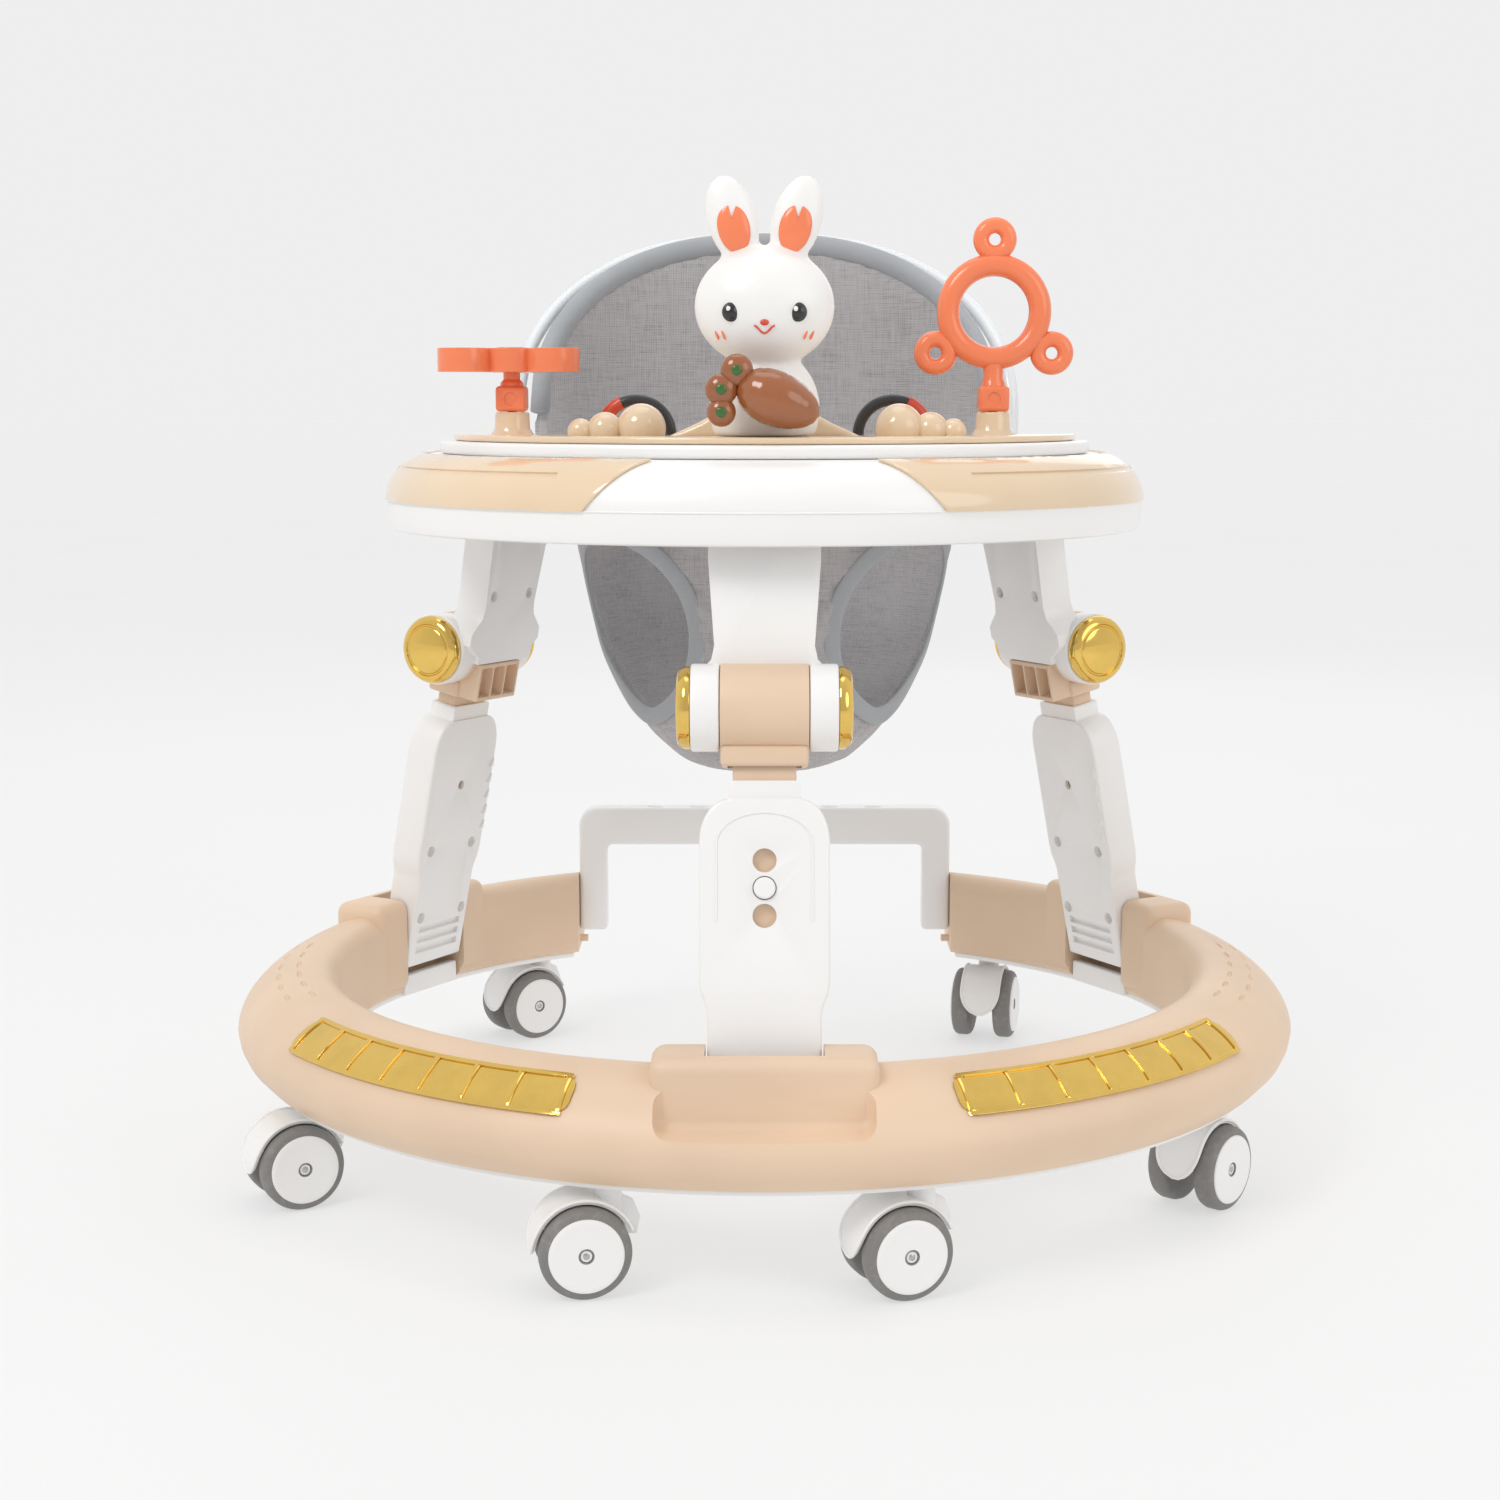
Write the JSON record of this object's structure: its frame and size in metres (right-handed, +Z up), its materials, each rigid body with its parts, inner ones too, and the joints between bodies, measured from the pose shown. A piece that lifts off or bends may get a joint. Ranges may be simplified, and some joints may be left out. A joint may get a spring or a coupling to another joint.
{
  "type": "baby walker",
  "caption": "Round rolling baby walker: ring base on swivel casters, folding legs of adjustable height, and a tray with toys, a padded backrest and a cloth seat.",
  "frame": {"origin": "on the floor under the middle of the walker's box", "axes": "+Z up, the toys and the front leg face -Y, the ring's opening and the rear bar are on the +Y side, +X to the right seen from the front"},
  "size_m": [0.6988, 0.6685, 0.6236],
  "materials": {
    "peach_plastic": "satin peach",
    "gloss_peach_plastic": "glossy peach",
    "white_plastic": "warm white, semi gloss",
    "gold_plating": "bright gold plating",
    "grey_rubber": "dark grey tyre, pale hub",
    "steel": "plain steel",
    "orange_plastic": "orange",
    "brown_plastic": "glossy brown",
    "dark_plastic": "dark grey",
    "grey_fabric": "mottled grey weave",
    "clear_white_plastic": "pale, nearly clear"
  },
  "bodies": {
    "base": {"base_shell": "peach_plastic", "base_under_plate": "white_plastic", "gold_strip_left": "gold_plating", "gold_strip_right": "gold_plating"},
    "rear_bar": {"rear_bar": "white_plastic"},
    "lock_tab_left": {"lock_tab_left": "peach_plastic"},
    "lock_tab_right": {"lock_tab_right": "peach_plastic"},
    "caster_front_left": {"caster_front_left_housing": "white_plastic"},
    "caster_front_left_wheel_left": {"caster_front_left_wheel_left": "grey_rubber"},
    "caster_front_left_wheel_right": {"caster_front_left_wheel_right": "grey_rubber"},
    "caster_front_right": {"caster_front_right_housing": "white_plastic"},
    "caster_front_right_wheel_left": {"caster_front_right_wheel_left": "grey_rubber"},
    "caster_front_right_wheel_right": {"caster_front_right_wheel_right": "grey_rubber"},
    "caster_side_left": {"caster_side_left_housing": "white_plastic"},
    "caster_side_left_wheel_left": {"caster_side_left_wheel_left": "grey_rubber"},
    "caster_side_left_wheel_right": {"caster_side_left_wheel_right": "grey_rubber"},
    "caster_side_right": {"caster_side_right_housing": "white_plastic"},
    "caster_side_right_wheel_left": {"caster_side_right_wheel_left": "grey_rubber"},
    "caster_side_right_wheel_right": {"caster_side_right_wheel_right": "grey_rubber"},
    "caster_rear_left": {"caster_rear_left_housing": "white_plastic"},
    "caster_rear_left_wheel_left": {"caster_rear_left_wheel_left": "grey_rubber"},
    "caster_rear_left_wheel_right": {"caster_rear_left_wheel_right": "grey_rubber"},
    "caster_rear_right": {"caster_rear_right_housing": "white_plastic"},
    "caster_rear_right_wheel_left": {"caster_rear_right_wheel_left": "grey_rubber"},
    "caster_rear_right_wheel_right": {"caster_rear_right_wheel_right": "grey_rubber"},
    "lower_leg_front": {"lower_leg_front": "white_plastic"},
    "height_button_front": {"height_button_front": "white_plastic"},
    "height_tube_front": {"height_tube_front": "peach_plastic"},
    "upper_bracket_front": {"upper_bracket_front": "white_plastic", "knee_pin_front": "steel", "knee_cap_front_left": "gold_plating", "knee_cap_front_right": "gold_plating"},
    "lower_leg_right": {"lower_leg_right": "white_plastic"},
    "height_button_right": {"height_button_right": "white_plastic"},
    "height_tube_right": {"height_tube_right": "peach_plastic"},
    "upper_bracket_right": {"upper_bracket_right": "white_plastic", "knee_pin_right": "steel", "knee_cap_right_left": "gold_plating", "knee_cap_right_right": "gold_plating"},
    "lower_leg_left": {"lower_leg_left": "white_plastic"},
    "height_button_left": {"height_button_left": "white_plastic"},
    "height_tube_left": {"height_tube_left": "peach_plastic"},
    "upper_bracket_left": {"upper_bracket_left": "white_plastic", "knee_pin_left": "steel", "knee_cap_left_left": "gold_plating", "knee_cap_left_right": "gold_plating"},
    "tray": {"tray": "white_plastic", "tray_panel_left": "gloss_peach_plastic", "tray_panel_right": "gloss_peach_plastic", "backrest_hoop": "clear_white_plastic", "seat_back": "grey_fabric", "seat_sling": "grey_fabric"},
    "toy_tray": {"toy_tray_rim": "white_plastic", "toy_plate": "gloss_peach_plastic", "arch_left": "dark_plastic", "arch_right": "dark_plastic", "bunny": "white_plastic", "carrot": "brown_plastic"},
    "spinner": {"spinner": "orange_plastic"},
    "ring_toy": {"ring_toy": "orange_plastic"}
  },
  "joints": [
    {"name": "rear_bar_fold", "type": "hinge", "parent": "base", "child": "rear_bar", "pos_m": [0, 0.28428, 0.092], "axis": [-1, 0, 0], "range_deg": [0, 90]},
    {"name": "lock_tab_left_press", "type": "slide", "parent": "base", "child": "lock_tab_left", "axis": [-1, 0, 0], "range_m": [0, 0.003], "stiffness_N_per_m": 300},
    {"name": "lock_tab_right_press", "type": "slide", "parent": "base", "child": "lock_tab_right", "axis": [1, 0, 0], "range_m": [0, 0.003], "stiffness_N_per_m": 300},
    {"name": "caster_front_left_swivel", "type": "hinge", "parent": "base", "child": "caster_front_left", "pos_m": [-0.08763, -0.28788, 0.05], "axis": [0, 0, 1], "continuous": true},
    {"name": "caster_front_left_wheel_left_spin", "type": "hinge", "parent": "caster_front_left", "child": "caster_front_left_wheel_left", "pos_m": [-0.10541, -0.27504, 0.026], "axis": [0.1908, -0.9816, 0], "continuous": true},
    {"name": "caster_front_left_wheel_right_spin", "type": "hinge", "parent": "caster_front_left", "child": "caster_front_left_wheel_right", "pos_m": [-0.0993, -0.30645, 0.026], "axis": [0.1908, -0.9816, 0], "continuous": true},
    {"name": "caster_front_right_swivel", "type": "hinge", "parent": "base", "child": "caster_front_right", "pos_m": [0.08763, -0.28788, 0.05], "axis": [0, 0, 1], "continuous": true},
    {"name": "caster_front_right_wheel_left_spin", "type": "hinge", "parent": "caster_front_right", "child": "caster_front_right_wheel_left", "pos_m": [0.06806, -0.27798, 0.026], "axis": [0.342, -0.9397, 0], "continuous": true},
    {"name": "caster_front_right_wheel_right_spin", "type": "hinge", "parent": "caster_front_right", "child": "caster_front_right_wheel_right", "pos_m": [0.07901, -0.30805, 0.026], "axis": [0.342, -0.9397, 0], "continuous": true},
    {"name": "caster_side_left_swivel", "type": "hinge", "parent": "base", "child": "caster_side_left", "pos_m": [-0.27927, -0.13214, 0.05], "axis": [0, 0, 1], "continuous": true},
    {"name": "caster_side_left_wheel_left_spin", "type": "hinge", "parent": "caster_side_left", "child": "caster_side_left_wheel_left", "pos_m": [-0.30015, -0.12542, 0.026], "axis": [0.4848, -0.8746, 0], "continuous": true},
    {"name": "caster_side_left_wheel_right_spin", "type": "hinge", "parent": "caster_side_left", "child": "caster_side_left_wheel_right", "pos_m": [-0.28463, -0.15341, 0.026], "axis": [0.4848, -0.8746, 0], "continuous": true},
    {"name": "caster_side_right_swivel", "type": "hinge", "parent": "base", "child": "caster_side_right", "pos_m": [0.27927, -0.13214, 0.05], "axis": [0, 0, 1], "continuous": true},
    {"name": "caster_side_right_wheel_left_spin", "type": "hinge", "parent": "caster_side_right", "child": "caster_side_right_wheel_left", "pos_m": [0.25735, -0.13297, 0.026], "axis": [0.7547, -0.6561, 0], "continuous": true},
    {"name": "caster_side_right_wheel_right_spin", "type": "hinge", "parent": "caster_side_right", "child": "caster_side_right_wheel_right", "pos_m": [0.2815, -0.15396, 0.026], "axis": [0.7547, -0.6561, 0], "continuous": true},
    {"name": "caster_rear_left_swivel", "type": "hinge", "parent": "base", "child": "caster_rear_left", "pos_m": [-0.1767, 0.2777, 0.05], "axis": [0, 0, 1], "continuous": true},
    {"name": "caster_rear_left_wheel_left_spin", "type": "hinge", "parent": "caster_rear_left", "child": "caster_rear_left_wheel_left", "pos_m": [-0.19831, 0.28145, 0.026], "axis": [0.6018, -0.7986, 0], "continuous": true},
    {"name": "caster_rear_left_wheel_right_spin", "type": "hinge", "parent": "caster_rear_left", "child": "caster_rear_left_wheel_right", "pos_m": [-0.17906, 0.25589, 0.026], "axis": [0.6018, -0.7986, 0], "continuous": true},
    {"name": "caster_rear_right_swivel", "type": "hinge", "parent": "base", "child": "caster_rear_right", "pos_m": [0.1767, 0.2777, 0.05], "axis": [0, 0, 1], "continuous": true},
    {"name": "caster_rear_right_wheel_left_spin", "type": "hinge", "parent": "caster_rear_right", "child": "caster_rear_right_wheel_left", "pos_m": [0.15737, 0.26735, 0.026], "axis": [0.9659, -0.2588, 0], "continuous": true},
    {"name": "caster_rear_right_wheel_right_spin", "type": "hinge", "parent": "caster_rear_right", "child": "caster_rear_right_wheel_right", "pos_m": [0.18828, 0.25907, 0.026], "axis": [0.9659, -0.2588, 0], "continuous": true},
    {"name": "foot_front", "type": "hinge", "parent": "base", "child": "lower_leg_front", "pos_m": [0, -0.27428, 0.1], "axis": [-1, 0, 0], "range_deg": [0, 45]},
    {"name": "height_button_front_press", "type": "slide", "parent": "lower_leg_front", "child": "height_button_front", "axis": [0, 0.9782, -0.2076], "range_m": [0, 0.004], "stiffness_N_per_m": 500},
    {"name": "height_front", "type": "slide", "parent": "lower_leg_front", "child": "height_tube_front", "axis": [0, 0.2076, 0.9782], "range_m": [-0.0155, 0.0155]},
    {"name": "knee_front", "type": "hinge", "parent": "height_tube_front", "child": "upper_bracket_front", "pos_m": [0, -0.22758, 0.32], "axis": [1, 0, 0], "range_deg": [0, 127]},
    {"name": "foot_right", "type": "hinge", "parent": "base", "child": "lower_leg_right", "pos_m": [0.25115, 0.16072, 0.1], "axis": [0.5, -0.866, 0], "range_deg": [0, 45]},
    {"name": "height_button_right_press", "type": "slide", "parent": "lower_leg_right", "child": "height_button_right", "axis": [-0.8472, -0.4891, -0.2076], "range_m": [0, 0.004], "stiffness_N_per_m": 500},
    {"name": "height_right", "type": "slide", "parent": "lower_leg_right", "child": "height_tube_right", "axis": [-0.1798, -0.1038, 0.9782], "range_m": [-0.0155, 0.0155]},
    {"name": "knee_right", "type": "hinge", "parent": "height_tube_right", "child": "upper_bracket_right", "pos_m": [0.21071, 0.13738, 0.32], "axis": [-0.5, 0.866, 0], "range_deg": [0, 127]},
    {"name": "foot_left", "type": "hinge", "parent": "base", "child": "lower_leg_left", "pos_m": [-0.25115, 0.16072, 0.1], "axis": [0.5, 0.866, 0], "range_deg": [0, 45]},
    {"name": "height_button_left_press", "type": "slide", "parent": "lower_leg_left", "child": "height_button_left", "axis": [0.8472, -0.4891, -0.2076], "range_m": [0, 0.004], "stiffness_N_per_m": 500},
    {"name": "height_left", "type": "slide", "parent": "lower_leg_left", "child": "height_tube_left", "axis": [0.1798, -0.1038, 0.9782], "range_m": [-0.0155, 0.0155]},
    {"name": "knee_left", "type": "hinge", "parent": "height_tube_left", "child": "upper_bracket_left", "pos_m": [-0.21071, 0.13738, 0.32], "axis": [-0.5, -0.866, 0], "range_deg": [0, 127]},
    {"name": "hip_front", "type": "hinge", "parent": "upper_bracket_front", "child": "tray", "pos_m": [0, -0.18728, 0.428], "axis": [-1, 0, 0], "range_deg": [0, 82], "deforming": ["seat_sling"]},
    {"name": "toy_tray_lift", "type": "slide", "parent": "tray", "child": "toy_tray", "axis": [0, 0, 1], "range_m": [0, 0.06]},
    {"name": "spinner_turn", "type": "hinge", "parent": "toy_tray", "child": "spinner", "pos_m": [-0.157, -0.07028, 0.4856], "axis": [0, 0, 1], "continuous": true},
    {"name": "ring_toy_turn", "type": "hinge", "parent": "toy_tray", "child": "ring_toy", "pos_m": [0.142, -0.07028, 0.4856], "axis": [0, 0, 1], "continuous": true}
  ],
  "couplings": [
    {"joint": "knee_front", "follows": "foot_front", "ratio": 2.82},
    {"joint": "foot_right", "follows": "foot_front", "ratio": 1},
    {"joint": "height_right", "follows": "height_front", "ratio": 1},
    {"joint": "knee_right", "follows": "foot_front", "ratio": 2.82},
    {"joint": "foot_left", "follows": "foot_front", "ratio": 1},
    {"joint": "height_left", "follows": "height_front", "ratio": 1},
    {"joint": "knee_left", "follows": "foot_front", "ratio": 2.82},
    {"joint": "hip_front", "follows": "foot_front", "ratio": 1.82}
  ]
}
